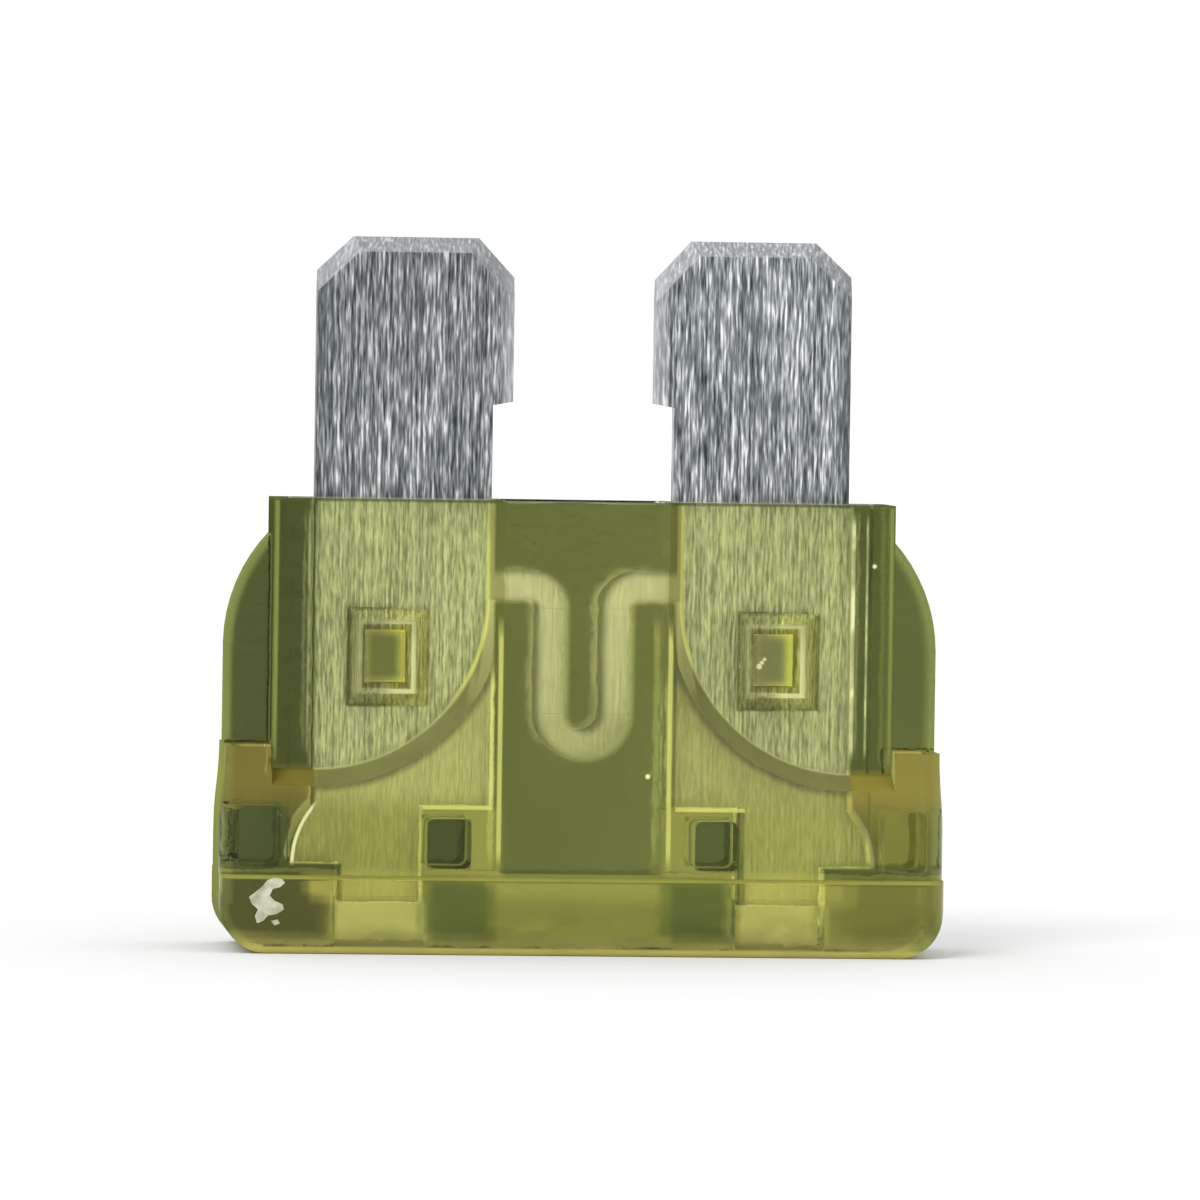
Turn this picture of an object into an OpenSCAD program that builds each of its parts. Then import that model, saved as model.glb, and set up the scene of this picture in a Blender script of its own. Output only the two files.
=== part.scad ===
// Blade fuse of the regular size, standing on its head with the blades up.
// X runs across both blades, Y from front to back, Z along the blades.
// One moulded transparent housing holds one stamped metal element.

/* [Head] */
// Width across the head
head_w = 19.1; // [18.9:0.1:19.6]
// Thickness of the head from front to back
head_t = 5.1; // [4.9:0.1:5.6]
// Height of the full-thickness head
head_h = 2.05; // [1.95:0.05:2.15]
// Radius of the head's lower corners, seen from the front
head_corner_r = 1.3; // [0.8:0.1:1.7]
// Radius of the head's upright corners, seen from above
head_plan_r = 0.6; // [0.3:0.1:1]
// Rounding of the head's long edges
head_edge_r = 0.15; // [0.05:0.05:0.35]

/* [Body] */
// Height of the whole housing
housing_h = 11.9; // [11.6:0.1:12.6]
// Width of the box round the element
box_w = 16.4; // [16.2:0.1:17]
// Thickness of the box at its pads
pad_t = 2.9; // [2.6:0.1:3.3]
// Height of the pads' lower edge
pad_z = 4.8; // [4.5:0.1:5]
// Thickness of the raised bell between the pads
bell_t = 4.3; // [3.8:0.1:4.5]
// Width of the bell's neck
bell_neck_w = 4.3; // [4.3:0.1:4.7]
// Radius of the bell's shoulders
bell_r = 4.5; // [4:0.1:4.6]
// Width of the sloped wall between bell and pad
slope_w = 0.4; // [0.2:0.05:0.5]

/* [Ears] */
// Width across the ears at their waist
ear_w = 18.8; // [18.3:0.1:18.8]
// Thickness of the ears
ear_t = 1.5; // [1.2:0.1:2]
// Radius of the ears' upper corners
ear_r = 4.35; // [3.8:0.05:4.6]
// Height at which an ear starts to round inward
ear_round_z = 8; // [7.6:0.1:8.4]
// Height up to which the ears are as thick as the bell
ear_root_z = 5.4; // [5.2:0.1:5.8]
// Height of the head's widest part below the waist
flare_z = 3; // [2.6:0.1:3.4]

/* [Hollows] */
// Width of the chamber round the link
chamber_w = 4.2; // [4:0.1:4.3]
// Depth of the chamber from front to back
chamber_t = 2.6; // [2:0.1:2.8]
// Height of the chamber's floor
chamber_floor_z = 2.1; // [2:0.05:2.3]
// Width of the slot over both ends
slot_w = 15.4; // [15.3:0.1:15.7]
// Free space between strip and slot
fit_gap = 0.06; // [0.04:0.01:0.1]
// Thickness of the web left in each cored pocket
pocket_web_t = 1.1; // [0.9:0.1:1.6]
// Corner radius of the pockets
pocket_r = 0.2; // [0.1:0.05:0.3]
// Height of a pocket's floor above the head
pocket_lift = 0.2; // [0.1:0.05:0.3]
// Width of an inner pocket
inner_pocket_w = 1.15; // [0.9:0.05:1.2]
// Height of an inner pocket
inner_pocket_h = 1.3; // [1:0.1:1.35]
// Distance of an inner pocket's outer side from the middle
inner_pocket_x = 4.1; // [4:0.05:4.2]
// Width of an ear's pocket
ear_pocket_w = 1.1; // [0.8:0.1:1.15]
// Height of an ear's pocket
ear_pocket_h = 1.6; // [1.2:0.1:1.8]
// Distance of an ear's pocket from the middle
ear_pocket_x = 7.95; // [7.9:0.05:8]
// Depth of a test-probe well in the head's end face
probe_depth = 1.45; // [1.3:0.05:1.6]
// Width of a test-probe well
probe_w = 2.35; // [2.2:0.05:2.6]
// Thickness of a test-probe well
probe_t = 1.6; // [1.2:0.1:2]

/* [Stakes] */
// Width of the staking hole in the strip
hole_w = 1.1; // [0.9:0.05:1.3]
// Height of the staking hole in the strip
hole_h = 1.4; // [1.2:0.05:1.6]
// Distance of a staking hole from the middle
hole_x = 5.15; // [5.05:0.05:5.3]
// Height of a staking hole's middle
hole_z = 7.75; // [7.4:0.05:8]
// Free space between stake and hole
stake_gap = 0.08; // [0.05:0.01:0.12]
// Width of the punch mark at the pad's surface
punch_mouth_w = 2.15; // [2:0.05:2.3]
// Width of the punch mark at its floor
punch_floor_w = 1.45; // [1.3:0.05:1.6]
// Height that the punch mark has more than width
punch_tall = 0.4; // [0.2:0.05:0.5]
// Thickness left between the two punch marks of a stake
punch_web_t = 1.3; // [1.1:0.05:1.6]

/* [Element] */
// Height of the blades' tips
fuse_h = 18.8; // [18.4:0.1:19.3]
// Thickness of the metal strip
strip_t = 0.65; // [0.6:0.01:0.7]
// Width over the outer edges of both blades
blade_span = 14.15; // [14:0.05:14.5]
// Width of a blade at its tip
blade_w = 5.2; // [5.1:0.05:5.3]
// Length that the barb stands out inward
barb = 0.53; // [0.4:0.01:0.6]
// Height of the barb's lower edge
barb_z = 14.4; // [14:0.1:15]
// Rise of the barb's lower edge towards its tip
barb_rise = 0.1; // [0:0.05:0.3]
// Width of the tip's two corner cuts
tip_cut_w = 0.95; // [0.7:0.05:1.2]
// Drop of the tip's outer corner cut
tip_cut_outer = 0.9; // [0.7:0.05:1.2]
// Drop of the tip's inner corner cut
tip_cut_inner = 1.03; // [0.7:0.01:1.2]
// Width of the coined bevel round the tip
coin_w = 0.4; // [0.3:0.05:0.6]
// Thickness left at the bevel's edge
coin_t = 0.25; // [0.15:0.05:0.4]

/* [Foot] */
// Height of the strip's shelf beside the chamber
shelf_z = 3.87; // [3.8:0.01:4]
// Height of the foot's lower edge
foot_z = 2.35; // [2.3:0.05:2.45]
// Radius of the foot's flared side
foot_r = 2.3; // [2.1:0.1:2.6]
// Width across both flared feet
foot_span = 15.2; // [15.1:0.1:15.25]
// Width of a test tab
tab_w = 2.1; // [1.9:0.05:2.15]
// Distance of a test tab's middle from the middle of the fuse
tab_x = 5.3; // [5.25:0.05:5.4]
// Length that a test tab reaches into its well
tab_reach = 0.15; // [0.05:0.05:0.4]

/* [Link] */
// Width of the fusible link
link_w = 0.78; // [0.7:0.02:0.9]
// Thickness of the link, skived below the strip's
link_t = 0.35; // [0.25:0.05:0.6]
// Height of the link's two arches
link_top_z = 10.05; // [9.6:0.05:10.6]
// Height of the link's lower bend
link_low_z = 5.1; // [4.6:0.05:5.4]
// Radius of the lower bend at the link's middle line
bend_r = 0.86; // [0.8:0.02:0.95]
// Radius of the arches at the link's middle line
arch_r = 0.55; // [0.5:0.01:0.6]

/* [Hidden] */
$fn = 96;

// Length by which a cut runs past the surface that it opens
past = 1;
// Overlap that fuses two shapes of one solid
weld = 0.05;

blade_out = blade_span / 2;
blade_in = blade_out - blade_w;
neck_in = blade_in + barb;
tab_in = tab_x - tab_w / 2;
tab_out = tab_x + tab_w / 2;
tab_z = probe_depth - tab_reach;

step_h = (bell_t - pad_t) / 2;
pad_x = bell_neck_w / 2 + slope_w;
waist_drop = (head_w - ear_w) / 2;
ogee_h = ear_root_z - flare_z;
ogee_r = (ogee_h * ogee_h + waist_drop * waist_drop) / (4 * waist_drop);
slot_t = strip_t + 2 * fit_gap;
pocket_z = head_h + pocket_lift;

module mirrored_x() {
    children();
    mirror([1, 0, 0]) children();
}

module mirrored_y() {
    children();
    mirror([0, 1, 0]) children();
}

// Stands a flat X-Z shape up with thickness t, centred from front to back.
module upright(t) {
    rotate([90, 0, 0])
        linear_extrude(height = t, center = true)
            children();
}

// Runs a flat Y-Z section along X over length l, centred.
module along_x(l) {
    rotate([90, 0, 90])
        linear_extrude(height = l, center = true)
            children();
}

// Rectangle on the X axis with separate radii for its lower and upper corners.
module standing_rect(w, h, low_r, top_r) {
    mirrored_x() {
        square([w / 2 - low_r, h / 2 + weld]);
        translate([0, low_r]) square([w / 2, h / 2 - low_r + weld]);
        translate([w / 2 - low_r, low_r]) circle(r = low_r);
        translate([0, h / 2]) square([w / 2, h / 2 - top_r]);
        translate([0, h / 2]) square([w / 2 - top_r, h / 2]);
        translate([w / 2 - top_r, h - top_r]) circle(r = top_r);
    }
}

// Half of the ogee between the head's widest part and the ears' waist.
module ogee() {
    translate([0, flare_z]) intersection() {
        translate([head_w / 2 - ogee_r, 0]) circle(r = ogee_r);
        square([head_w / 2, ogee_h / 2]);
    }
    translate([0, flare_z + ogee_h / 2 - weld]) difference() {
        square([(head_w + ear_w) / 4, ogee_h / 2 + weld]);
        translate([ear_w / 2 + ogee_r, ogee_h / 2 + weld]) circle(r = ogee_r);
    }
}

// Half of an ear from its waist to the rounded upper corner.
module ear() {
    translate([0, ear_root_z - weld])
        square([ear_w / 2, ear_round_z - ear_root_z + 2 * weld]);
    translate([0, ear_round_z]) intersection() {
        translate([ear_w / 2 - ear_r, 0]) circle(r = ear_r);
        square([ear_w / 2, ear_r]);
    }
}

// Front outline of the whole housing.
module housing_outline() {
    mirrored_x() {
        translate([0, head_corner_r])
            square([head_w / 2, flare_z - head_corner_r + weld]);
        square([head_w / 2 - head_corner_r, flare_z]);
        translate([head_w / 2 - head_corner_r, head_corner_r])
            circle(r = head_corner_r);
        ogee();
        ear();
        square([box_w / 2, housing_h]);
    }
}

// Thick head: the front outline below the ledge, with rounded long edges.
module head() {
    intersection() {
        upright(head_t) housing_outline();
        along_x(head_w + past)
            standing_rect(head_t, head_h, head_edge_r, head_edge_r);
        linear_extrude(height = head_h)
            plan_outline(head_t);
    }
}

// Plan of the housing with rounded upright corners.
module plan_outline(t) {
    translate([0, -t / 2])
        standing_rect(head_w, t, head_plan_r, head_plan_r);
}

// Body above the head, before its pads are sunk.
module body_block() {
    intersection() {
        upright(bell_t) housing_outline();
        along_x(head_w + past)
            standing_rect(bell_t, housing_h, head_edge_r, head_edge_r);
        linear_extrude(height = housing_h)
            plan_outline(bell_t);
    }
}

// Sunk pad beside the bell: its inner lower corner is swept, its walls slope.
module pad_cut() {
    deep = 2 * step_h;
    spread = 2 * slope_w;
    corner_x = pad_x + bell_r;
    corner_z = pad_z + bell_r;
    top_z = housing_h + past;
    translate([0, -pad_t / 2, 0]) {
        intersection() {
            translate([corner_x, 0, corner_z])
                rotate([90, 0, 0])
                    cylinder(h = deep, r1 = bell_r, r2 = bell_r + spread);
            translate([0, -deep, 0]) cube([box_w / 2, deep, top_z]);
        }
        translate([0, 0, corner_z])
            linear_extrude(height = top_z - corner_z)
                polygon([[pad_x, 0], [box_w / 2, 0], [box_w / 2, -deep], [pad_x - spread, -deep]]);
        intersection() {
            translate([corner_x, -deep, pad_z - spread])
                cube([box_w / 2 - corner_x, deep, top_z - pad_z + spread]);
            along_x(box_w)
                polygon([[0, pad_z], [-deep, pad_z - spread], [-deep, top_z], [0, top_z]]);
        }
    }
}

// Sunk face of an ear above its thick root.
module ear_cut() {
    translate([box_w / 2, -bell_t / 2 - past, ear_root_z])
        cube([ear_w / 2, (bell_t - ear_t) / 2 + past, housing_h]);
}

// Slot for one blade, its foot and its test tab, with the stake left standing.
module slot_outline() {
    difference() {
        union() {
            translate([chamber_w / 2 - weld, shelf_z - fit_gap])
                square([(slot_w - chamber_w) / 2 + weld, housing_h]);
            translate([tab_in - fit_gap, foot_z - fit_gap])
                square([slot_w / 2 - tab_in + fit_gap, shelf_z - foot_z]);
            translate([tab_in - fit_gap, probe_depth - weld])
                square([tab_w + 2 * fit_gap, foot_z - probe_depth]);
        }
        translate([hole_x, hole_z])
            square([hole_w - 2 * stake_gap, hole_h - 2 * stake_gap], center = true);
    }
}

// Punch mark of a stake: a pit with four sloped walls.
module punch_mark() {
    pit_h = (pad_t - punch_web_t) / 2;
    spread = (punch_mouth_w - punch_floor_w) / 2;
    floor_y = -punch_web_t / 2;
    mouth_y = floor_y - 2 * pit_h;
    floor_half = punch_floor_w / 2;
    mouth_half = floor_half + 2 * spread;
    floor_top = (punch_floor_w + punch_tall) / 2;
    mouth_top = floor_top + 2 * spread;
    translate([hole_x, 0, hole_z]) intersection() {
        linear_extrude(height = 2 * mouth_top, center = true)
            polygon([
                [-floor_half, floor_y], [floor_half, floor_y],
                [mouth_half, mouth_y], [-mouth_half, mouth_y]
            ]);
        along_x(2 * mouth_half)
            polygon([
                [floor_y, -floor_top], [floor_y, floor_top],
                [mouth_y, mouth_top], [mouth_y, -mouth_top]
            ]);
    }
}

// Cored pocket sunk from the front, w wide, h high, from x outward.
module pocket(x, w, h) {
    depth = (bell_t - pocket_web_t) / 2;
    translate([x + w / 2, -bell_t / 2 + (depth - past) / 2, pocket_z])
        upright(depth + past)
            standing_rect(w, h, pocket_r, pocket_r);
}

module housing() {
    color([0.62, 0.66, 0.24, 0.75]) difference() {
        union() {
            head();
            difference() {
                body_block();
                mirrored_x() mirrored_y() {
                    pad_cut();
                    ear_cut();
                }
            }
        }
        mirrored_x() {
            upright(slot_t) slot_outline();
            translate([tab_x - probe_w / 2, -probe_t / 2, -past])
                cube([probe_w, probe_t, probe_depth + past]);
            mirrored_y() {
                punch_mark();
                pocket(inner_pocket_x - inner_pocket_w, inner_pocket_w, inner_pocket_h);
                pocket(ear_pocket_x, ear_pocket_w, ear_pocket_h);
            }
        }
        translate([-chamber_w / 2, -chamber_t / 2, chamber_floor_z])
            cube([chamber_w, chamber_t, housing_h]);
    }
}

// One blade with its neck, foot and test tab.
module blade_outline() {
    difference() {
        union() {
            polygon([
                [neck_in, shelf_z], [tab_in, shelf_z],
                [tab_in, tab_z], [tab_out, tab_z],
                [tab_out, foot_z], [blade_out, foot_z],
                [blade_out, fuse_h - tip_cut_outer], [blade_out - tip_cut_w, fuse_h],
                [blade_in + tip_cut_w, fuse_h], [blade_in, fuse_h - tip_cut_inner],
                [blade_in, barb_z + barb_rise], [neck_in, barb_z]
            ]);
            intersection() {
                translate([foot_span / 2 - foot_r, foot_z]) circle(r = foot_r);
                translate([tab_out, foot_z]) square([foot_r, foot_r]);
            }
        }
        translate([hole_x, hole_z]) square([hole_w, hole_h], center = true);
    }
}

// Wedge whose sloped sides coin both faces along an edge at its local z = 0.
module coin_wedge() {
    rate = (strip_t - coin_t) / (2 * coin_w);
    apex = coin_t / (2 * rate);
    along_x(4 * fuse_h)
        polygon([[0, apex], [rate * 2 * fuse_h, apex - 2 * fuse_h], [-rate * 2 * fuse_h, apex - 2 * fuse_h]]);
}

module blade() {
    intersection() {
        upright(strip_t) blade_outline();
        translate([0, 0, fuse_h]) coin_wedge();
        translate([blade_out, 0, fuse_h - tip_cut_outer])
            rotate([0, atan2(tip_cut_outer, tip_cut_w), 0])
                coin_wedge();
        translate([blade_in, 0, fuse_h - tip_cut_inner])
            rotate([0, -atan2(tip_cut_inner, tip_cut_w), 0])
                coin_wedge();
    }
}

// Quarter of a flat ring in the quadrant towards +X and +Z.
module quarter_ring(r) {
    intersection() {
        difference() {
            circle(r = r + link_w / 2);
            circle(r = r - link_w / 2);
        }
        square(r + link_w);
    }
}

// Left half of the link: inward from the blade, over the arch, down, under.
module link_outline() {
    arch_x = bend_r + arch_r;
    arch_z = link_top_z - link_w / 2 - arch_r;
    low_z = link_low_z + link_w / 2 + bend_r;
    translate([-neck_in - weld, link_top_z - link_w])
        square([neck_in - arch_x + 2 * weld, link_w]);
    translate([-arch_x, arch_z]) quarter_ring(arch_r);
    translate([-bend_r - link_w / 2, low_z - weld])
        square([link_w, arch_z - low_z + 2 * weld]);
    translate([0, low_z]) rotate(180) quarter_ring(bend_r);
}

module fuse_element() {
    color([0.74, 0.75, 0.77]) {
        mirrored_x() blade();
        upright(link_t) mirrored_x() link_outline();
    }
}

housing();
fuse_element();
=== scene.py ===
"""Looks of the blade fuse: clear yellow moulding, rolled metal, camera, floor and light."""

import math
from collections import namedtuple

import bmesh
import bpy
from mathutils import Matrix, Vector


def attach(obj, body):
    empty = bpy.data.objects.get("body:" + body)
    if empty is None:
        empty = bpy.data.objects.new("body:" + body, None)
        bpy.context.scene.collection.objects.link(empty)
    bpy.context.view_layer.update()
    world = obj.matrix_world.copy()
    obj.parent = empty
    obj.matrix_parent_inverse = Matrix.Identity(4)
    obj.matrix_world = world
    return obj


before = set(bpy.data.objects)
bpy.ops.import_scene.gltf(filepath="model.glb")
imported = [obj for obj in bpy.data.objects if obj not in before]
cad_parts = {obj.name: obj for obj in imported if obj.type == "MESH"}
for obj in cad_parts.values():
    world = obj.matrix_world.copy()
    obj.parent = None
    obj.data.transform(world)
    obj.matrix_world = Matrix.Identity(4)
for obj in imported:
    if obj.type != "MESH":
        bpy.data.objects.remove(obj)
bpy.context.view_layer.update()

MM = 0.001
HOUSING = "housing"
ELEMENT = "fuse_element"

# Sizes in mm that the materials follow. They repeat part.scad's values.
HEAD_H = 2.05
HEAD_T = 5.1
HEAD_OUT = 9.55
CORNER_R = 1.3
HOUSING_H = 11.9
BOX_OUT = 8.2
EAR_ROOT_Z = 5.4
EAR_OUT = 9.4
EAR_R = 4.35
EAR_ROUND_Z = 8.0
PAD_X = 2.55
PAD_Z = 4.8
PAD_DEEP = 1.45
BELL_R = 4.5
SLOPE_W = 0.4
CHAMBER_HALF = 2.1
CHAMBER_DEEP = 1.3
SLOT_DEEP = 0.385
SLOT_OUT = 7.7
NECK_IN = 2.405
BLADE_OUT = 7.075
SHELF_Z = 3.87
FOOT_Z = 2.35
FOOT_R = 2.3
FOOT_OUT = 7.6
TAB_IN = 4.25
TAB_OUT = 6.35
TAB_Z = 1.3
BARB_Z = 14.4
HOLE_X = 5.15
HOLE_Z = 7.75
HOLE_HALF_W = 0.55
HOLE_HALF_H = 0.7
PUNCH_HALF_W = 0.725
PUNCH_HALF_H = 0.925
MOUTH_HALF_W = 1.075
MOUTH_HALF_H = 1.275
PROBE_IN = 4.125
PROBE_OUT = 6.475
PROBE_DEEP = 0.8
PROBE_TOP = 1.45
LINK_HALF = 0.39
BEND_R = 0.86
BEND_Z = 6.35
ARCH_R = 0.55
ARCH_X = 1.41
ARCH_Z = 9.11

# Places in mm, as inner and outer |x|, then lower and upper z.
POCKET = (2.95, 4.1, 2.25, 3.55)
EAR_POCKET = (7.8, 9.1, 2.3, 3.85)
EAR_POCKET_RIM = (7.7, 9.2, 2.15, 3.95)
EAR_NOTCH = (7.0, EAR_OUT - 0.3, 4.5, EAR_ROOT_Z + 0.1)
HEAD_DARK_PLACE = (2.3, 4.0, 0.2, 1.9)
BESIDE_TAB = (TAB_OUT, 7.2, 1.35, HEAD_H + 0.1)
UNDER_SHELF = (CHAMBER_HALF + 0.05, TAB_IN, HEAD_H - 0.5, SHELF_Z)

# Height in mm of the strips along the head's long edges that bend the view.
HEAD_EDGE = 0.18

# Places x, z and sizes in mm of the painted glints on the front.
GLINTS = ((1.67, 4.72, 0.07), (7.66, 10.3, 0.06), (4.72, 7.6, 0.08), (4.79, 7.7, 0.06), (4.86, 7.79, 0.05))

# Usual half width in mm of a mask's edge, a finer one, and one that is as good as sharp.
SOFT = 0.05
FINE = 0.03
SHARP = 0.01

CLEAR = (1.0, 1.0, 1.0, 1.0)

Place = namedtuple("Place", "vector side across depth deep up")


def srgb(red, green, blue):
    """Linear colour of an 8-bit screen colour."""
    def linear(value):
        value /= 255
        return value / 12.92 if value <= 0.04045 else ((value + 0.055) / 1.055) ** 2.4
    return (linear(red), linear(green), linear(blue), 1.0)


class Net:
    """A material's node tree, with short calls for the sums that shape its masks."""

    def __init__(self, name):
        self.material = bpy.data.materials.new(name)
        self.material.use_nodes = True
        self.tree = self.material.node_tree
        self.tree.nodes.clear()

    def node(self, kind, **settings):
        made = self.tree.nodes.new(kind)
        for name, value in settings.items():
            setattr(made, name, value)
        return made

    def feed(self, socket, value):
        if isinstance(value, bpy.types.NodeSocket):
            self.tree.links.new(value, socket)
        else:
            socket.default_value = value

    def math(self, operation, *values, clamp=False):
        made = self.node("ShaderNodeMath", operation=operation, use_clamp=clamp)
        for socket, value in zip(made.inputs, values):
            self.feed(socket, value)
        return made.outputs[0]

    def add(self, first, second):
        return self.math("ADD", first, second)

    def less(self, first, second):
        return self.math("SUBTRACT", first, second)

    def times(self, first, second):
        return self.math("MULTIPLY", first, second)

    def most(self, first, second):
        return self.math("MAXIMUM", first, second)

    def size(self, value):
        return self.math("ABSOLUTE", value)

    def inverse(self, value):
        return self.math("SUBTRACT", 1.0, value)

    def range(self, value, low, high, to_low, to_high):
        made = self.node("ShaderNodeMapRange")
        self.feed(made.inputs["Value"], value)
        made.inputs["From Min"].default_value = low
        made.inputs["From Max"].default_value = high
        made.inputs["To Min"].default_value = to_low
        made.inputs["To Max"].default_value = to_high
        return made.outputs["Result"]

    def tilt(self, side, reach, left, right):
        """A value that runs from left at -reach to right at reach."""
        return self.range(side, -reach, reach, left, right)

    def step(self, value, edge, soft):
        """0 below edge, 1 above it, and a smooth rise of half width soft between."""
        made = self.node("ShaderNodeMapRange", interpolation_type="SMOOTHSTEP")
        self.feed(made.inputs["Value"], value)
        made.inputs["From Min"].default_value = edge - soft
        made.inputs["From Max"].default_value = edge + soft
        return made.outputs["Result"]

    def below(self, value, edge, soft):
        """1 below edge, 0 above it."""
        return self.inverse(self.step(value, edge, soft))

    def band(self, value, low, high, soft):
        """1 between low and high, 0 beyond them."""
        return self.less(self.step(value, low, soft), self.step(value, high, soft))

    def box(self, at, low_x, high_x, low_z, high_z, soft):
        """A rectangle seen from the front, alike on the left and the right."""
        return self.times(self.band(at.across, low_x, high_x, soft), self.band(at.up, low_z, high_z, soft))

    def stake_box(self, at, half_w, half_h, soft):
        """A rectangle round each stake's middle."""
        return self.box(at, HOLE_X - half_w, HOLE_X + half_w, HOLE_Z - half_h, HOLE_Z + half_h, soft)

    def frame(self, at, half_w, half_h, width, soft):
        """A rectangular line of that width round a stake, its outer side at the half sizes."""
        return self.less(self.stake_box(at, half_w, half_h, soft),
                         self.stake_box(at, half_w - width, half_h - width, soft))

    def reach(self, across, up, centre_x, centre_z):
        """Distance from a point in the X-Z plane."""
        a = self.less(across, centre_x)
        b = self.less(up, centre_z)
        return self.math("SQRT", self.add(self.times(a, a), self.times(b, b)))

    def scaled(self, colour, factor):
        made = self.node("ShaderNodeVectorMath", operation="SCALE")
        self.feed(made.inputs[0], colour)
        self.feed(made.inputs["Scale"], factor)
        return made.outputs[0]

    def blend(self, factor, first, second):
        made = self.node("ShaderNodeMix", data_type="RGBA")
        self.feed(made.inputs[0], factor)
        self.feed(made.inputs[6], first)
        self.feed(made.inputs[7], second)
        return made.outputs[2]

    def place(self):
        """Object coordinates in mm: the vector, x, |x|, y, |y| and z."""
        coords = self.node("ShaderNodeTexCoord")
        vector = self.scaled(coords.outputs["Object"], 1 / MM)
        split = self.node("ShaderNodeSeparateXYZ")
        self.feed(split.inputs[0], vector)
        side, depth, up = split.outputs
        return Place(vector, side, self.size(side), depth, self.size(depth), up)

    def stretched(self, vector, scale, offset=(0, 0, 0)):
        made = self.node("ShaderNodeMapping")
        self.feed(made.inputs["Vector"], vector)
        made.inputs["Scale"].default_value = scale
        made.inputs["Location"].default_value = offset
        return made.outputs[0]

    def noise(self, vector, scale, detail=2.0, roughness=0.5, distortion=0.0):
        made = self.node("ShaderNodeTexNoise")
        self.feed(made.inputs["Vector"], vector)
        made.inputs["Scale"].default_value = scale
        made.inputs["Detail"].default_value = detail
        made.inputs["Roughness"].default_value = roughness
        made.inputs["Distortion"].default_value = distortion
        return made.outputs[0]

    def bump(self, height, strength, distance, normal=None):
        made = self.node("ShaderNodeBump")
        self.feed(made.inputs["Height"], height)
        made.inputs["Strength"].default_value = strength
        made.inputs["Distance"].default_value = distance
        if normal is not None:
            self.feed(made.inputs["Normal"], normal)
        return made.outputs[0]

    def principled(self, **inputs):
        shader = self.node("ShaderNodeBsdfPrincipled")
        for name, value in inputs.items():
            self.feed(shader.inputs[name.replace("_", " ")], value)
        out = self.node("ShaderNodeOutputMaterial")
        self.tree.links.new(shader.outputs[0], out.inputs["Surface"])
        return self.material


def foot_reach(net, at):
    """Distance from the middle of the round side of each foot."""
    return net.reach(at.across, at.up, FOOT_OUT - FOOT_R, FOOT_Z)


def metal_mask(net, at):
    """Where the strip lies behind the plastic: blades, feet with their flares, and tabs."""
    blade = net.box(at, NECK_IN, BLADE_OUT, SHELF_Z, HOUSING_H + 1, SOFT)
    foot = net.box(at, TAB_IN, BLADE_OUT, FOOT_Z, SHELF_Z + 1, SOFT)
    tab = net.box(at, TAB_IN, TAB_OUT, TAB_Z, FOOT_Z + 1, SOFT)
    flare = net.times(net.below(foot_reach(net, at), FOOT_R, SOFT), net.step(at.up, FOOT_Z, SOFT))
    flare = net.times(flare, net.step(at.across, TAB_OUT, SOFT))
    return net.most(net.most(blade, foot), net.most(tab, flare))


def link_mask(net, at):
    """Where the link lies: its distance from the middle line of bend, leg, arch and bar."""
    soft = 0.14
    half = LINK_HALF - 0.04
    bend = net.less(net.reach(at.across, at.up, 0, BEND_Z), BEND_R)
    leg = net.less(at.across, BEND_R)
    arch = net.less(net.reach(at.across, at.up, ARCH_X, ARCH_Z), ARCH_R)
    bar = net.less(at.up, ARCH_Z + ARCH_R)
    over_bend = net.step(at.up, BEND_Z, SHARP)
    over_leg = net.step(at.up, ARCH_Z, SHARP)

    def ribbon(distance):
        return net.below(net.size(distance), half, soft)

    low = net.times(ribbon(bend), net.inverse(over_bend))
    middle = net.times(ribbon(leg), net.times(over_bend, net.inverse(over_leg)))
    high = net.times(net.times(ribbon(arch), over_leg), net.below(at.across, ARCH_X, SHARP))
    end = net.times(ribbon(bar), net.band(at.across, ARCH_X, NECK_IN + 0.1, SHARP))
    return net.most(net.most(low, middle), net.most(high, end))


def shoulder(net, at):
    """Distance from the pads' inner edge: below 0 on the pad, above 0 on the slope and the bell."""
    middle_x = PAD_X + BELL_R
    middle_z = PAD_Z + BELL_R
    corner = net.times(net.below(at.across, middle_x, SHARP), net.below(at.up, middle_z, SHARP))
    swept = net.less(net.reach(at.across, at.up, middle_x, middle_z), BELL_R)
    straight = net.most(net.less(PAD_X, at.across), net.less(PAD_Z, at.up))
    return net.add(net.times(corner, swept), net.times(net.inverse(corner), straight))


# Painted dark tone of the ears and of the housing's top edge.
EAR_AND_TOP_TONE = srgb(87, 94, 47)


def clear_colour(net, at):
    """Painted tone of plastic with only plastic behind it: ears, columns, the ears' roots, the window and
    under the shelf, with painted shade darker on the left and lighter on the right.
    """
    column = srgb(77, 85, 38)
    root = srgb(135, 125, 54)
    window = srgb(104, 110, 54)
    lower = srgb(142, 144, 67)
    colour = net.blend(net.step(at.across, BOX_OUT + 0.1, SOFT), column, EAR_AND_TOP_TONE)
    root_rise = net.times(net.step(at.across, BOX_OUT, 0.04), EAR_ROOT_Z - PAD_Z)
    rooted = net.times(net.below(net.less(at.up, root_rise), PAD_Z, 0.08), net.step(at.up, 3.7, 0.7))
    colour = net.blend(rooted, colour, root)
    colour = net.blend(net.below(at.across, NECK_IN, 0.1), colour, window)
    # Painted shade: darker on the left, lighter on the right.
    colour = net.scaled(colour, net.tilt(at.side, 8.0, 0.78, 1.1))
    return net.blend(net.box(at, *UNDER_SHELF, 0.14), colour, lower)


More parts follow.
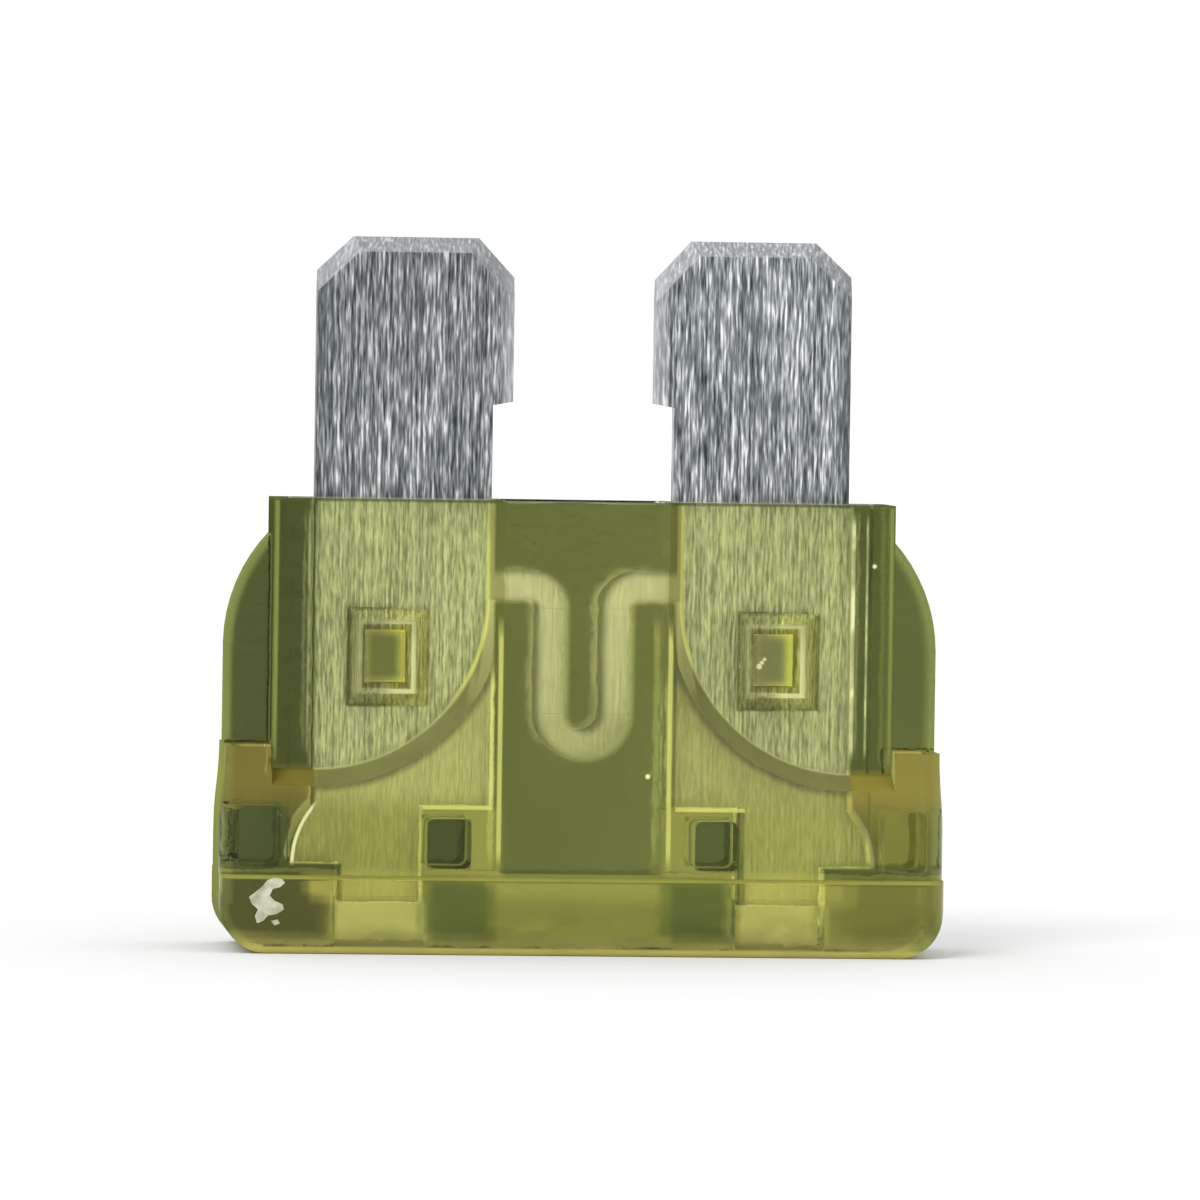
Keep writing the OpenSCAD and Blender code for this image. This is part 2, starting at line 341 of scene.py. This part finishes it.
def border_mask(net, at):
    """The rounded outline seen from the front: the head's corners, the ears' corners and the flanks."""
    low = net.step(net.reach(at.across, at.up, HEAD_OUT - CORNER_R, CORNER_R), CORNER_R - 0.22, 0.1)
    low = net.times(low, net.below(at.up, CORNER_R, 0.02))
    low = net.times(low, net.step(at.across, HEAD_OUT - CORNER_R, 0.02))
    high = net.step(net.reach(at.across, at.up, EAR_OUT - EAR_R, EAR_ROUND_Z), EAR_R - 0.2, 0.09)
    high = net.times(high, net.step(at.up, EAR_ROUND_Z, 0.02))
    high = net.times(high, net.step(at.across, BOX_OUT + 0.05, 0.02))
    flank = net.times(net.step(at.across, EAR_OUT - 0.18, 0.09), net.band(at.up, CORNER_R, EAR_ROUND_Z, 0.02))
    return net.most(flank, net.most(low, high))


def colour_over_metal(net, at, edge, on_right):
    """Plastic with metal behind it, in painted light and shade: pale pads, slopes painted darker low down,
    and a bell and feet painted in other tones on the left and the right.
    """
    pad = srgb(233, 237, 156)
    left_bell = srgb(252, 254, 146)
    right_bell = srgb(223, 225, 128)
    slope_low = srgb(128, 130, 77)
    slope_high = srgb(160, 161, 94)
    left_foot = srgb(209, 211, 103)
    right_foot = srgb(226, 228, 118)
    slope = net.blend(net.step(at.up, 8.3, 0.9), slope_low, slope_high)
    bell = net.blend(net.tilt(at.side, 5.0, 0.0, 1.0), left_bell, right_bell)
    colour = net.blend(net.step(edge, SLOPE_W + 0.15, 0.12), slope, bell)
    colour = net.blend(net.step(edge, 0.0, SOFT), pad, colour)
    foot = net.blend(on_right, left_foot, right_foot)
    colour = net.blend(net.below(at.up, 4.0, 0.5), colour, foot)
    # Painted shade: a little lighter on the left, darker on the right.
    return net.scaled(colour, net.tilt(at.side, 5.0, 1.03, 0.98))


def colour_over_link(net, at, over_metal):
    """Plastic over the link, in painted light: paler over its legs, darker over its bend."""
    leg = srgb(251, 253, 174)
    bend = srgb(217, 219, 144)
    colour = net.blend(net.step(at.up, BEND_Z, 0.5), bend, leg)
    return net.blend(net.step(at.across, CHAMBER_HALF, 0.1), colour, over_metal)


def right_of_stakes(net, at, offset, soft):
    """1 on the right side of both stakes, from that offset to the right of each one's middle."""
    return net.add(net.band(at.side, -HOLE_X + offset, 0.0, soft), net.step(at.side, HOLE_X + offset, soft))


def with_stakes(net, at, colour, on_right):
    """Each stake in painted light and shade: sloped walls painted darker on their left and lit on their
    right, round a floor painted dim on the left and lit on the right, with the hole at its middle, a painted
    highlight on its right and a painted dark line round the mouth, strongest on the left.
    """
    left_wall = srgb(178, 178, 104)
    right_wall = srgb(238, 238, 118)
    floor_dim = srgb(158, 156, 84)
    floor_lit = srgb(206, 204, 84)
    left_stake = srgb(104, 111, 56)
    right_stake = srgb(116, 120, 70)
    left_glow = srgb(148, 154, 68)
    right_glow = srgb(184, 187, 78)
    dark_line = srgb(104, 108, 54)
    right_of = right_of_stakes(net, at, 0.0, 0.3)
    walls = net.frame(at, MOUTH_HALF_W, MOUTH_HALF_H, MOUTH_HALF_W - PUNCH_HALF_W, 0.06)
    colour = net.blend(walls, colour, net.blend(right_of, left_wall, right_wall))
    pressed = net.stake_box(at, PUNCH_HALF_W - 0.04, PUNCH_HALF_H - 0.04, 0.08)
    colour = net.blend(pressed, colour, net.blend(right_of, floor_dim, floor_lit))
    hole = net.stake_box(at, HOLE_HALF_W - 0.05, HOLE_HALF_H - 0.05, 0.2)
    stake = net.blend(on_right, left_stake, right_stake)
    glow = net.blend(on_right, left_glow, right_glow)
    stake = net.blend(right_of_stakes(net, at, 0.3, 0.12), stake, glow)
    colour = net.blend(hole, colour, stake)
    mouth = net.frame(at, MOUTH_HALF_W + 0.03, MOUTH_HALF_H + 0.03, 0.09, FINE)
    return net.blend(net.times(mouth, net.range(right_of, 0.0, 1.0, 0.8, 0.2)), colour, dark_line)


def punch_highlights(net, at):
    """A painted highlight on the frame that the punch leaves round each stake's floor, fainter on the left.
    """
    punch_highlight = net.frame(at, PUNCH_HALF_W + 0.06, PUNCH_HALF_H + 0.06, 0.14, FINE)
    return net.times(punch_highlight, net.range(right_of_stakes(net, at, 0.0, 0.3), 0.0, 1.0, 0.55, 1.0))


def faint_lines(net, at, edge, on_right):
    """Painted highlights on edges that catch some light: the shoulders, the chamber's sides and the strip's
    shelves.
    """
    lower_left = net.times(net.inverse(on_right), 0.9)
    shoulders = net.times(net.step(at.across, PAD_X - 0.1, 0.1),
                          net.band(net.add(at.up, lower_left), 7.5, 12.2, 0.7))
    line = net.times(net.band(edge, -0.05, 0.05, FINE), shoulders)
    wall = net.times(net.band(at.across, CHAMBER_HALF + 0.07, CHAMBER_HALF + 0.2, FINE),
                     net.band(at.up, 2.4, 8.6, 0.4))
    shelf = net.box(at, NECK_IN, TAB_IN, SHELF_Z - 0.07, SHELF_Z + 0.03, 0.02)
    return net.times(net.most(line, net.most(wall, shelf)), 0.95)


def strip_sides(net, at):
    """Painted highlights along the strip's outer sides, brighter on the right and broken here and there."""
    right_side = net.add(net.band(at.side, BLADE_OUT - 0.03, BLADE_OUT + 0.08, FINE),
                         net.times(net.band(at.side, BLADE_OUT + 0.36, BLADE_OUT + 0.42, FINE), 0.85))
    left_side = net.times(net.band(at.side, -BLADE_OUT - 0.22, -BLADE_OUT - 0.15, FINE), 0.5)
    sides = net.times(net.add(right_side, left_side), net.band(at.up, 5.3, 11.5, 0.3))
    return net.times(sides, net.range(net.noise(at.vector, 1.7), 0.35, 0.6, 0.55, 1.0))


def foot_rims(net, at, on_right):
    """The painted highlight along each foot's round side, fainter on the right."""
    rim = net.times(net.band(foot_reach(net, at), FOOT_R, FOOT_R + 0.1, FINE),
                    net.box(at, BLADE_OUT, 9, FOOT_Z, 4.4, 0.1))
    return net.times(rim, net.range(on_right, 0.0, 1.0, 1.0, 0.3))


def glints(net, at):
    """Small painted glints on the front: beside the link's bend, on the right column and in the right stake.
    """
    front = net.below(at.depth, 0.0, SHARP)
    glint_spots = 0.0
    for x, z, size in GLINTS:
        glint_spot = net.below(net.reach(at.side, at.up, x, z), size, FINE)
        glint_spots = net.most(glint_spots, net.times(glint_spot, front))
    return glint_spots


def head_colour(net, at, on_right):
    """The head, in painted light and shade: bands where its own rounded edges and the tabs show through,
    paler beside the tabs and over the wells, and its left end painted darker than its right.
    """
    low = srgb(128, 130, 57)
    pale = srgb(146, 147, 66)
    dark = srgb(92, 101, 44)
    left_end = srgb(80, 82, 38)
    right_end = srgb(117, 119, 52)
    beyond_tab = srgb(154, 152, 70)
    tab_glow = srgb(240, 236, 122)
    well = srgb(180, 179, 94)
    head = net.blend(net.band(at.up, 0.75, 1.4, 0.15), pale, low)
    head = net.blend(net.box(at, *HEAD_DARK_PLACE, 0.15), head, dark)
    left_wider = net.times(net.inverse(on_right), 0.45)
    at_end = net.step(net.add(at.across, left_wider), 7.1, 0.25)
    head = net.blend(at_end, head, net.blend(on_right, left_end, right_end))
    head = net.blend(net.box(at, *BESIDE_TAB, 0.1), head, beyond_tab)
    head = net.blend(net.box(at, TAB_IN, TAB_OUT, TAB_Z, HEAD_H + 0.1, 0.04), head, tab_glow)
    return net.blend(net.box(at, PROBE_IN, PROBE_OUT, 0.1, PROBE_TOP - 0.05, 0.08), head, well)


def with_pocket(net, at, colour, place, soft, on_right, left, right):
    """Both pockets of that place, each painted in the tone of light and shade that falls on its side."""
    return net.blend(net.box(at, *place, soft), colour, net.blend(on_right, left, right))


def inner_walls(net, at):
    """The chamber, and all walls inside the plastic: chamber, slots and probe wells."""
    chamber = net.times(net.below(at.across, CHAMBER_HALF + 0.02, 0.02),
                        net.below(at.deep, CHAMBER_DEEP + 0.05, FINE))
    chamber = net.times(chamber, net.step(at.up, HEAD_H, FINE))
    slot = net.times(net.band(at.across, CHAMBER_HALF - 0.1, SLOT_OUT + 0.05, 0.02),
                     net.below(at.deep, SLOT_DEEP + 0.05, FINE))
    slot = net.times(slot, net.step(at.up, TAB_Z, FINE))
    probed = net.box(at, PROBE_IN - 0.05, PROBE_OUT + 0.05, -1, PROBE_TOP + 0.05, 0.02)
    probed = net.times(probed, net.below(at.deep, PROBE_DEEP + 0.1, FINE))
    return chamber, net.most(net.most(chamber, slot), probed)


def slope_mask(net, at, edge, outside):
    """The slopes between the bell and the pads, on the outside."""
    sloped = net.times(net.band(edge, -0.02, SLOPE_W + 0.02, 0.05), outside)
    sloped = net.times(sloped, net.step(at.up, PAD_Z - SLOPE_W - 0.1, 0.02))
    return net.times(sloped, net.below(at.across, BOX_OUT + 0.02, 0.02))


def plastic_material():
    """Clear plastic with painted light and shade on its walls: each place is tinted to the brightness it
    shows with what lies behind it, with painted highlights and dark lines on its edges.
    """
    net = Net("yellow_plastic")
    at = net.place()
    edge = shoulder(net, at)
    on_right = net.step(at.side, 0.0, 0.5)
    outside = net.step(at.deep, PAD_DEEP - 0.01, 0.01)

    # Painted light and shade from what lies behind the plastic: pale over the metal and the link, dark where
    # only plastic lies behind.
    over_metal = colour_over_metal(net, at, edge, on_right)
    colour = net.blend(metal_mask(net, at), clear_colour(net, at), over_metal)
    colour = net.blend(link_mask(net, at), colour, colour_over_link(net, at, over_metal))
    colour = with_stakes(net, at, colour, on_right)

    # Painted highlights on edges that catch the light.
    box_edge = net.times(net.band(at.across, BOX_OUT - 0.15, BOX_OUT - 0.03, 0.04),
                         net.step(at.up, PAD_Z + 0.2, 0.1))
    faint = faint_lines(net, at, edge, on_right)
    punch_highlight = punch_highlights(net, at)
    glint_spots = glints(net, at)
    lit = net.most(punch_highlight, net.most(strip_sides(net, at), foot_rims(net, at, on_right)))
    lit = net.most(lit, glint_spots)
    colour = net.blend(box_edge, colour, srgb(128, 135, 70))
    colour = net.blend(faint, colour, srgb(202, 204, 108))
    colour = net.blend(lit, colour, srgb(234, 237, 172))

    # The head; the pockets in painted shade, the right ear pocket painted lighter; painted highlights on the
    # border, the ledge and the end; and the top painted darker.
    ledge = net.times(net.band(at.up, HEAD_H - 0.1, HEAD_H + 0.03, FINE), net.step(at.deep, 2.2, 0.02))
    top = net.step(at.up, HOUSING_H - 0.07, FINE)
    colour = net.blend(net.below(at.up, HEAD_H, FINE), colour, head_colour(net, at, on_right))
    colour = with_pocket(net, at, colour, POCKET, FINE, on_right, srgb(70, 77, 37), srgb(83, 91, 45))
    colour = net.blend(net.times(border_mask(net, at), 0.7), colour, srgb(142, 150, 80))
    colour = net.blend(ledge, colour, srgb(146, 146, 70))
    colour = net.blend(net.below(at.up, 0.34, 0.12), colour, srgb(168, 163, 88))
    colour = with_pocket(net, at, colour, EAR_POCKET, 0.04, on_right, srgb(74, 82, 42), srgb(122, 122, 53))
    colour = net.blend(net.times(top, 0.85), colour, EAR_AND_TOP_TONE)
    cloud = net.noise(net.stretched(at.vector, (1.0, 1.0, 0.7)), 0.55, 3.0)
    colour = net.scaled(colour, net.range(cloud, 0.3, 0.7, 0.9, 1.08))

    # Walls inside the plastic add no colour of their own.
    chamber, inner = inner_walls(net, at)
    colour = net.blend(inner, colour, CLEAR)

    # The notches at the ears' roots, painted paler where they are seen at a glance.
    glance = net.node("ShaderNodeLayerWeight")
    glance.inputs["Blend"].default_value = 0.5
    glancing = net.step(glance.outputs["Facing"], 0.8, 0.12)
    notch = net.times(net.box(at, *EAR_NOTCH, 0.1), glancing)
    colour = net.blend(notch, colour, srgb(196, 186, 112))

    # Matt places scatter the light that meets them from outside: slopes, lit lines, the ledge, the end
    # face, and the outer sides and the top seen at a glance.
    behind = net.node("ShaderNodeNewGeometry").outputs["Backfacing"]
    sloped = slope_mask(net, at, edge, outside)
    all_lit = net.most(lit, net.most(faint, box_edge))
    faced = net.most(outside, net.times(net.step(at.deep, 0.5, 0.02), net.most(punch_highlight, glint_spots)))
    outer = net.most(net.step(at.across, 7.9, 0.1), net.step(at.up, HOUSING_H - 0.1, 0.02))
    outer = net.times(outer, net.inverse(net.box(at, *EAR_POCKET_RIM, 0.02)))
    matt = net.times(sloped, net.range(at.across, BLADE_OUT - 0.1, BLADE_OUT + 0.1, 0.6, 0.95))
    matt = net.most(matt, net.times(net.times(all_lit, faced), 0.8))
    matt = net.most(matt, net.times(ledge, 0.85))
    matt = net.most(matt, net.most(net.below(at.up, 0.2, 0.05), net.times(glancing, outer)))
    matt = net.times(net.times(matt, net.inverse(notch)), net.inverse(behind))
    clearness = net.math("SUBTRACT", 1.0, matt, clamp=True)

    # Light goes straight on through slopes and the head's rounded edges seen from within, the chamber's
    # sides and the notches.
    round_edge = net.most(net.below(at.up, HEAD_EDGE, SHARP), net.step(at.up, HEAD_H - HEAD_EDGE, SHARP))
    round_edge = net.times(round_edge, net.step(at.deep, HEAD_T / 2 - HEAD_EDGE, SHARP))
    side_wall = net.times(net.band(at.across, CHAMBER_HALF - 0.01, CHAMBER_HALF + 0.03, SHARP), chamber)
    straight = net.times(net.most(sloped, round_edge), behind)
    straight = net.most(straight, net.most(side_wall, notch))

    # Light turned back within the plastic keeps its strength; outside there is only a faint gloss.
    gloss = net.blend(net.most(behind, inner), (0.3, 0.3, 0.25, 1.0), CLEAR)

    ripple = net.noise(at.vector, 1.1, 2.0)
    orange_peel = net.noise(at.vector, 9.0, 2.0)
    normal = net.bump(orange_peel, 0.12, 0.00002, net.bump(ripple, 0.3, 0.0001))
    rough = net.range(net.noise(at.vector, 5.0, 3.0), 0.3, 0.7, 0.05, 0.11)
    return net.principled(
        Base_Color=colour, Roughness=rough, Normal=normal, IOR=net.range(straight, 0.0, 1.0, 1.5, 1.0),
        Transmission_Weight=clearness, Specular_IOR_Level=0.0, Specular_Tint=gloss)


def rolled_height(net, at):
    """The rolled surface: short and long grains along the blades, with a little coarse cloud."""
    grain = net.noise(net.stretched(at.vector, (1.0, 1.0, 0.1)), 15.5, 1.6, 0.55, 0.15)
    drawn = net.noise(net.stretched(at.vector, (1.0, 1.0, 0.03), (1.3, 0.2, 0.6)), 13.0, 1.0, 0.5, 0.1)
    grain = net.add(net.times(grain, 0.65), net.times(drawn, 0.35))
    coarse = net.noise(net.stretched(at.vector, (1.0, 1.0, 0.2), (3.1, 1.7, 0.4)), 2.2, 2.0, 0.55, 0.2)
    return net.add(net.times(grain, 0.93), net.times(coarse, 0.07))


def bare_colour(net, at, height):
    """The blades in the open: the grain's own pattern, painted from dark shade in its hollows to bright
    reflection on its ridges, and the left blade painted darker, most so near its tip.
    """
    ramp = net.node("ShaderNodeValToRGB")
    net.feed(ramp.inputs[0], height)
    stops = ramp.color_ramp.elements
    stops[0].position, stops[0].color = 0.36, srgb(60, 66, 70)
    stops[1].position, stops[1].color = 0.64, srgb(248, 250, 251)
    stops.new(0.49).color = srgb(128, 133, 136)
    stops.new(0.57).color = srgb(184, 188, 190)
    upper_tilt = net.times(net.step(at.up, 14.6, 0.8), net.tilt(at.side, 3.0, -0.09, 0.08))
    return net.scaled(ramp.outputs[0], net.add(net.tilt(at.side, 3.0, 0.89, 1.0), upper_tilt))


def with_held_part(net, at, colour, held):
    """Inside the housing the strip is painted paler, a painted light, with a softer grain, and the link is
    smooth and paler still.
    """
    padded = net.times(net.below(shoulder(net, at), 0.2, 0.2), held)
    short = net.noise(net.stretched(at.vector, (1.0, 1.0, 0.13), (5.3, 0.8, 1.9)), 17.0, 1.5, 0.5, 0.2)
    long = net.noise(net.stretched(at.vector, (1.0, 1.0, 0.03), (2.7, 0.3, 0.9)), 15.0, 1.0, 0.5, 0.1)
    dash = net.add(net.times(short, 0.6), net.times(long, 0.4))
    calm = net.blend(net.range(dash, 0.42, 0.6, 0.0, 1.0), srgb(186, 189, 190), srgb(208, 211, 213))
    lively = net.blend(net.range(dash, 0.38, 0.63, 0.0, 1.0), srgb(150, 154, 156), srgb(232, 236, 238))
    colour = net.blend(held, colour, calm)
    colour = net.blend(padded, colour, lively)
    colour = net.blend(net.below(at.up, HEAD_H + 0.1, 0.1), colour, srgb(214, 214, 206))
    link = net.times(held, net.below(at.across, NECK_IN + 0.05, 0.1))
    smooth = net.blend(net.noise(at.vector, 1.6, 2.0), srgb(231, 232, 231), srgb(239, 240, 239))
    return net.blend(link, colour, smooth)


def coined_mask(net, at):
    """The bevels round the blades' tips, which are pressed smooth."""
    geometry = net.node("ShaderNodeNewGeometry")
    facing = net.node("ShaderNodeSeparateXYZ")
    net.feed(facing.inputs[0], geometry.outputs["True Normal"])
    flat = net.step(net.size(facing.outputs[1]), 0.985, 0.005)
    return net.times(net.inverse(flat), net.step(at.up, 17.0, 0.3))


def metal_material():
    net = Net("rolled_metal")
    at = net.place()
    height = rolled_height(net, at)
    held = net.below(at.up, HOUSING_H - 0.05, 0.12)
    colour = with_held_part(net, at, bare_colour(net, at, height), held)

    # The blades' outer edges are darker outside the housing, the barbs' inner edges paler.
    outer = net.times(net.inverse(held), net.step(at.across, BLADE_OUT - 0.38, 0.14))
    inner = net.times(net.step(at.up, BARB_Z - 0.1, 0.3), net.below(at.across, 2.15, 0.16))
    colour = net.blend(net.times(outer, 0.45), colour, srgb(70, 77, 80))
    colour = net.blend(net.times(inner, 0.4), colour, srgb(204, 204, 204))

    coined = coined_mask(net, at)
    colour = net.blend(net.times(coined, 0.62), colour, srgb(166, 168, 170))
    normal = net.bump(height, 0.6, 0.00004)
    rough = net.range(height, 0.3, 0.7, 0.5, 0.3)
    rough = net.add(net.times(rough, net.inverse(coined)), net.times(coined, 0.6))
    return net.principled(Base_Color=colour, Roughness=rough, Normal=normal, Metallic=1.0)


def scuff_material():
    net = Net("scuffed_plastic")
    patch = net.noise(net.place().vector, 4.0, 4.0)
    colour = net.blend(net.range(patch, 0.35, 0.65, 0.0, 1.0), srgb(156, 156, 128), srgb(203, 203, 180))
    normal = net.bump(patch, 0.5, 0.00003)
    return net.principled(Base_Color=colour, Roughness=0.7, Normal=normal)


def floor_material():
    net = Net("pale_floor")
    coords = net.node("ShaderNodeTexCoord")
    cloud = net.noise(coords.outputs["Object"], 3.0, 2.0)
    colour = net.blend(cloud, (0.85, 0.85, 0.85, 1), (0.86, 0.86, 0.86, 1))
    return net.principled(Base_Color=colour, Roughness=0.9, Specular_IOR_Level=0.0)


def give(name, material):
    """Gives a carried-over node its material."""
    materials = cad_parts[name].data.materials
    materials.clear()
    materials.append(material)


# Outlines, in mm from the front, of the pale scuffs at the head's left end.
SCUFFS = [
    [(-8.3, 1.93), (-8.12, 1.99), (-7.92, 1.96), (-7.84, 1.86), (-7.98, 1.74), (-8.16, 1.7),
     (-8.24, 1.52), (-8.1, 1.38), (-7.9, 1.3), (-7.86, 1.16), (-8.06, 1.04), (-8.28, 1.0),
     (-8.4, 0.86), (-8.56, 0.8), (-8.62, 0.98), (-8.54, 1.16), (-8.7, 1.3), (-8.78, 1.48),
     (-8.6, 1.62), (-8.44, 1.76)],
    [(-8.2, 0.86), (-8.02, 0.9), (-7.96, 0.8), (-8.1, 0.74)],
]

# How far in mm the scuffs stand out of the head's face, and how far they go into it.
SCUFF_PROUD = 0.012
SCUFF_SUNK = 0.01


def add_scuffs():
    """Pale scuffs on the head's front face: thin flakes with ragged edges, in one piece."""
    mesh = bpy.data.meshes.new("scuffs")
    shape = bmesh.new()
    face_y = -HEAD_T / 2
    for outline in SCUFFS:
        front = [shape.verts.new((x * MM, (face_y - SCUFF_PROUD) * MM, z * MM)) for x, z in outline]
        back = [shape.verts.new((x * MM, (face_y + SCUFF_SUNK) * MM, z * MM)) for x, z in outline]
        shape.faces.new(front)
        shape.faces.new(list(reversed(back)))
        count = len(outline)
        for i in range(count):
            j = (i + 1) % count
            shape.faces.new((front[j], front[i], back[i], back[j]))
    bmesh.ops.recalc_face_normals(shape, faces=shape.faces)
    shape.to_mesh(mesh)
    shape.free()
    piece = bpy.data.objects.new("scuffs", mesh)
    bpy.context.scene.collection.objects.link(piece)
    piece.data.materials.append(scuff_material())
    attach(piece, "root")


FLOOR_SIZE = 6.0


def add_floor():
    """One plain pale floor."""
    mesh = bpy.data.meshes.new("floor")
    half = FLOOR_SIZE / 2
    mesh.from_pydata(
        [(-half, -half, 0), (half, -half, 0), (half, half, 0), (-half, half, 0)], [], [(0, 1, 2, 3)])
    floor = bpy.data.objects.new("floor", mesh)
    bpy.context.scene.collection.objects.link(floor)
    floor.data.materials.append(floor_material())


def add_world():
    """A white world, which gives most of the light."""
    world = bpy.data.worlds.new("studio")
    world.use_nodes = True
    bpy.context.scene.world = world
    background = world.node_tree.nodes["Background"]
    background.inputs["Color"].default_value = (1, 1, 1, 1)
    background.inputs["Strength"].default_value = 1.0


def add_sun(name, direction, strength, angle):
    """A sun lamp that shines along direction, with soft shadows from its angle in degrees."""
    data = bpy.data.lights.new(name, "SUN")
    data.energy = strength
    data.angle = math.radians(angle)
    lamp = bpy.data.objects.new(name, data)
    lamp.rotation_mode = "QUATERNION"
    lamp.rotation_quaternion = Vector(direction).to_track_quat("-Z", "Y")
    bpy.context.scene.collection.objects.link(lamp)


# Camera: where the photo was taken from, in mm and degrees.
VIEW_YAW = 5.0
VIEW_ELEVATION = 1.5
VIEW_ROLL = 0.85
VIEW_DISTANCE = 250.0
PIXELS_PER_MM = 37.81
PHOTO_SIDE = 1200
AIM = Vector((0, 0, 9.4))
AIM_PIXEL = (580.1, 595.5)
SENSOR = 36.0


def add_camera():
    """Looks at AIM so that it falls on AIM_PIXEL of the photo."""
    yaw, elevation, roll = (math.radians(a) for a in (VIEW_YAW, VIEW_ELEVATION, VIEW_ROLL))
    ahead = Vector((
        math.sin(yaw) * math.cos(elevation), math.cos(yaw) * math.cos(elevation), -math.sin(elevation)))
    level_right = Vector((math.cos(yaw), -math.sin(yaw), 0))
    level_up = level_right.cross(ahead)
    right = math.cos(roll) * level_right + math.sin(roll) * level_up
    above = -math.sin(roll) * level_right + math.cos(roll) * level_up
    shift_right = (PHOTO_SIDE / 2 - AIM_PIXEL[0]) / PIXELS_PER_MM
    shift_up = (AIM_PIXEL[1] - PHOTO_SIDE / 2) / PIXELS_PER_MM
    eye = AIM - ahead * VIEW_DISTANCE + right * shift_right + above * shift_up

    data = bpy.data.cameras.new("camera")
    data.sensor_width = SENSOR
    data.lens = SENSOR * VIEW_DISTANCE * PIXELS_PER_MM / PHOTO_SIDE
    data.clip_start = 0.01
    data.clip_end = 20
    camera = bpy.data.objects.new("camera", data)
    turn = Matrix((right, above, -ahead)).transposed().to_4x4()
    camera.matrix_world = Matrix.Translation(eye * MM) @ turn
    bpy.context.scene.collection.objects.link(camera)
    bpy.context.scene.camera = camera


give(HOUSING, plastic_material())
give(ELEMENT, metal_material())
add_scuffs()
add_floor()
add_world()
add_sun("key", (0.45, 0.7, -0.75), 1.0, 25)
add_camera()
bpy.context.scene.view_settings.view_transform = "Standard"

# Light passes many walls of the clear plastic.
WALL_LIMIT = 14
bpy.context.scene.cycles.max_bounces = WALL_LIMIT
bpy.context.scene.cycles.transmission_bounces = WALL_LIMIT
